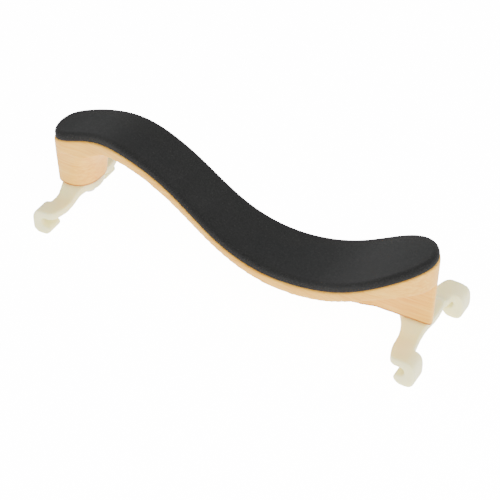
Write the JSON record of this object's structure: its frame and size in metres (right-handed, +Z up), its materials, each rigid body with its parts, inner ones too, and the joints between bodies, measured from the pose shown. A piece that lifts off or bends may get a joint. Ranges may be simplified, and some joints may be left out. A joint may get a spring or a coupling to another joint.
{
  "type": "violin shoulder rest",
  "caption": "S-curved maple shoulder rest with a foam pad on top and swivelling, sliding claw forks clamped under its end blocks.",
  "frame": {"origin": "on the plane of the claws' flat tips, in line with both clamp screws, 89.5 mm inwards from the one in the wedge-shaped block", "axes": "+X along the rest towards the wedge-shaped block, +Y towards the back, +Z up with the pad on top"},
  "size_m": [0.2177, 0.0634, 0.0601],
  "materials": {
    "maple": "satin lacquer",
    "foam": "matte closed-cell foam",
    "adhesive": "thin glue sheet",
    "claw_polymer": "ivory, slightly translucent, satin",
    "brass": "turned",
    "steel": "plain zinc-plated"
  },
  "bodies": {
    "frame": {"maple_frame": "maple", "foam_pad": "foam", "pad_adhesive": "adhesive", "left_inserts": "brass", "right_inserts": "brass"},
    "left_swivel": {"left_slot_bush": "brass"},
    "left_claws": {"left_fork": "claw_polymer"},
    "left_washer": {"left_lock_washer": "steel"},
    "left_screw": {"left_clamp_screw": "steel"},
    "right_swivel": {"right_slot_bush": "brass"},
    "right_claws": {"right_fork": "claw_polymer"},
    "right_washer": {"right_lock_washer": "steel"},
    "right_screw": {"right_clamp_screw": "steel"}
  },
  "joints": [
    {"name": "left_swivel_turn", "type": "hinge", "parent": "frame", "child": "left_swivel", "pos_m": [-0.0965, 0, 0.0197], "axis": [0, 0, 1], "range_deg": [-25, 25]},
    {"name": "left_fork_slide", "type": "slide", "parent": "left_swivel", "child": "left_claws", "axis": [-0.9962, -0.0872, 0], "range_m": [-0.0002, 0.0027]},
    {"name": "left_screw_feed", "type": "slide", "parent": "frame", "child": "left_washer", "axis": [0, 0, -1], "range_m": [0, 0.0014]},
    {"name": "left_screw_turn", "type": "hinge", "parent": "left_washer", "child": "left_screw", "pos_m": [-0.0965, 0, 0.0131], "axis": [0, 0, -1], "range_deg": [0, 720]},
    {"name": "right_swivel_turn", "type": "hinge", "parent": "frame", "child": "right_swivel", "pos_m": [0.0895, 0, 0.0197], "axis": [0, 0, 1], "range_deg": [-25, 25]},
    {"name": "right_fork_slide", "type": "slide", "parent": "right_swivel", "child": "right_claws", "axis": [0.9998, 0.0175, 0], "range_m": [-0.0012, 0.0017]},
    {"name": "right_screw_feed", "type": "slide", "parent": "frame", "child": "right_washer", "axis": [0, 0, -1], "range_m": [0, 0.0014]},
    {"name": "right_screw_turn", "type": "hinge", "parent": "right_washer", "child": "right_screw", "pos_m": [0.0895, 0, 0.0131], "axis": [0, 0, -1], "range_deg": [0, 720]}
  ],
  "couplings": [
    {"joint": "left_screw_turn", "follows": "left_screw_feed", "rad_per_m": 8975.8},
    {"joint": "right_screw_turn", "follows": "right_screw_feed", "rad_per_m": 8975.8}
  ]
}
